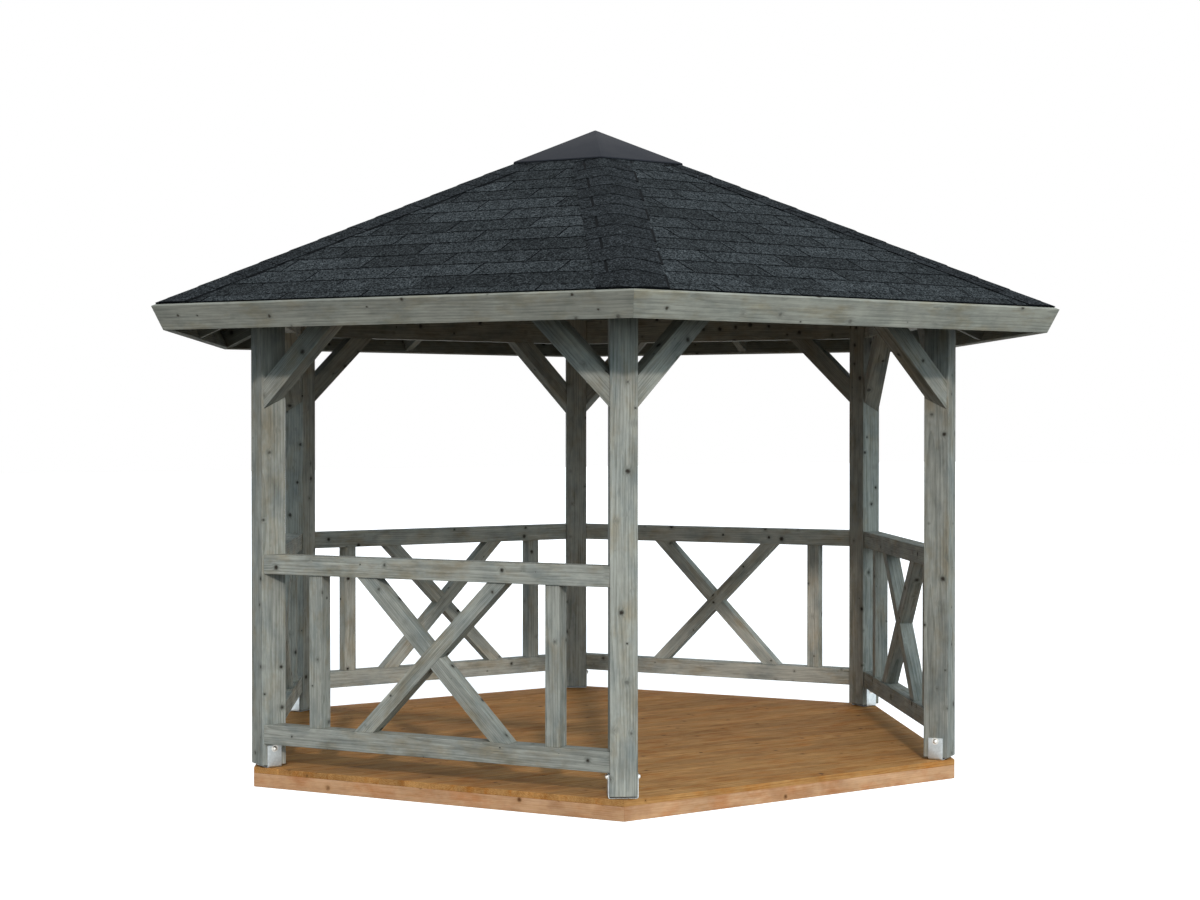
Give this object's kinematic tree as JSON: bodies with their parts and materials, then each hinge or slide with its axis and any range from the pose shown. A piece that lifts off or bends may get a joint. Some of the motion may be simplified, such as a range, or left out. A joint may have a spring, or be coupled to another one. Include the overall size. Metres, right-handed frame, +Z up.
{
  "type": "garden gazebo",
  "caption": "Hexagonal timber garden gazebo on a decked floor, with cross-braced railings, an open entrance bay, posts in steel shoes and a shingled roof with a metal cap.",
  "frame": {"origin": "on the ground under the middle of the floor", "axes": "+Z up; the open entrance bay faces -Y; two opposite corner posts stand on the X axis"},
  "size_m": [4.8258, 4.1792, 3.2135],
  "materials": {
    "floor_frame": "oiled softwood, red-brown",
    "deck_boards": "oiled softwood boards, red-brown",
    "galvanised_steel": "hot-dip galvanised, dull",
    "frame_timber": "pressure-treated softwood weathered grey",
    "railing_timber": "pressure-treated softwood weathered grey",
    "roof_boards": "planed softwood, grey-green",
    "fascia_timber": "pressure-treated softwood weathered pale grey",
    "bitumen_shingles": "bitumen felt shingles with dark mineral granules",
    "cap_metal": "folded sheet, dark satin coat"
  },
  "bodies": {
    "root": {"floor_edge": "floor_frame", "floor_joists": "floor_frame", "floor_deck": "deck_boards", "post_shoes": "galvanised_steel", "post_right": "frame_timber", "post_back_right": "frame_timber", "post_back_left": "frame_timber", "post_left": "frame_timber", "post_front_left": "frame_timber", "post_front_right": "frame_timber", "railing_back_right": "railing_timber", "railing_back": "railing_timber", "railing_back_left": "railing_timber", "railing_front_left": "railing_timber", "railing_front_right": "railing_timber", "braces_back_right": "frame_timber", "braces_back": "frame_timber", "braces_back_left": "frame_timber", "braces_front_left": "frame_timber", "braces_front": "frame_timber", "braces_front_right": "frame_timber", "wall_plate_back_right": "frame_timber", "wall_plate_back": "frame_timber", "wall_plate_back_left": "frame_timber", "wall_plate_front_left": "frame_timber", "wall_plate_front": "frame_timber", "wall_plate_front_right": "frame_timber", "roof_hub": "frame_timber", "hip_rafters": "frame_timber", "common_rafters": "frame_timber", "roof_boards_back_right": "roof_boards", "roof_boards_back": "roof_boards", "roof_boards_back_left": "roof_boards", "roof_boards_front_left": "roof_boards", "roof_boards_front": "roof_boards", "roof_boards_front_right": "roof_boards", "fascia_back_right": "fascia_timber", "fascia_back": "fascia_timber", "fascia_back_left": "fascia_timber", "fascia_front_left": "fascia_timber", "fascia_front": "fascia_timber", "fascia_front_right": "fascia_timber", "roof_shingles": "bitumen_shingles", "roof_cap": "cap_metal"}
  },
  "joints": []
}
